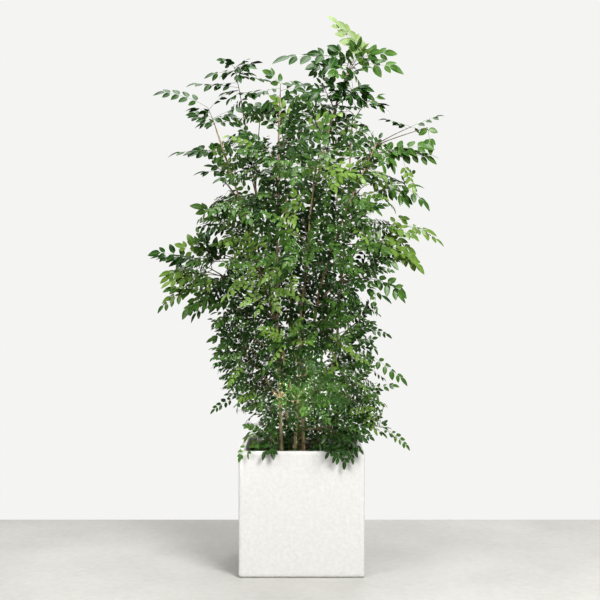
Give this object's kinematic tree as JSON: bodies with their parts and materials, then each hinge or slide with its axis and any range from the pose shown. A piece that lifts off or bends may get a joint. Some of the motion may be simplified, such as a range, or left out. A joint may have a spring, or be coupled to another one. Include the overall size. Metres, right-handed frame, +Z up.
{
  "type": "potted evergreen ash tree",
  "caption": "Bushy multi-stemmed evergreen ash with feathery opposite leaves, growing in a plain square stucco planter that stands on its flat underside.",
  "frame": {"origin": "middle of the planter's flat underside, on the surface it stands on", "axes": "+Z up along the stems; -Y is the front, the side the picture shows; +X to the right of it"},
  "size_m": [0.9575, 0.8791, 1.7368],
  "materials": {
    "planter": "matte",
    "soil": "matte",
    "bark": "matte",
    "foliage": "satin"
  },
  "bodies": {
    "root": {"planter": "planter", "soil": "soil", "stem_back_left": "bark", "stem_back_right": "bark", "stem_front": "bark", "stem_front_left": "bark", "stem_inner_left": "bark", "stem_inner_right": "bark", "stem_leader": "bark", "stem_left": "bark", "stem_right": "bark", "bough_back_left": "bark", "bough_back_low": "bark", "bough_back_right": "bark", "bough_front_low": "bark", "bough_left_broad": "bark", "bough_left_low": "bark", "bough_left_middle": "bark", "bough_right_broad": "bark", "bough_right_foot": "bark", "bough_right_side": "bark", "foliage_back_foot": "foliage", "foliage_back_high": "foliage", "foliage_back_left": "foliage", "foliage_back_low": "foliage", "foliage_back_middle": "foliage", "foliage_back_right": "foliage", "foliage_centre_high": "foliage", "foliage_centre_top": "foliage", "foliage_far_left_top": "foliage", "foliage_far_right_top": "foliage", "foliage_front_foot": "foliage", "foliage_front_inner": "foliage", "foliage_front_left": "foliage", "foliage_front_low": "foliage", "foliage_front_middle": "foliage", "foliage_front_right": "foliage", "foliage_front_upper": "foliage", "foliage_left_broad": "foliage", "foliage_left_foot": "foliage", "foliage_left_high": "foliage", "foliage_left_inner": "foliage", "foliage_left_low": "foliage", "foliage_left_middle": "foliage", "foliage_left_shoulder": "foliage", "foliage_right_broad": "foliage", "foliage_right_foot": "foliage", "foliage_right_high": "foliage", "foliage_right_low": "foliage", "foliage_right_middle": "foliage", "foliage_right_rim": "foliage", "foliage_right_side": "foliage", "foliage_right_upper": "foliage", "foliage_top": "foliage", "foliage_top_back_left": "foliage", "foliage_top_back_right": "foliage", "foliage_top_front": "foliage", "foliage_top_left": "foliage", "foliage_top_right": "foliage", "foliage_upper_left": "foliage"}
  },
  "joints": []
}
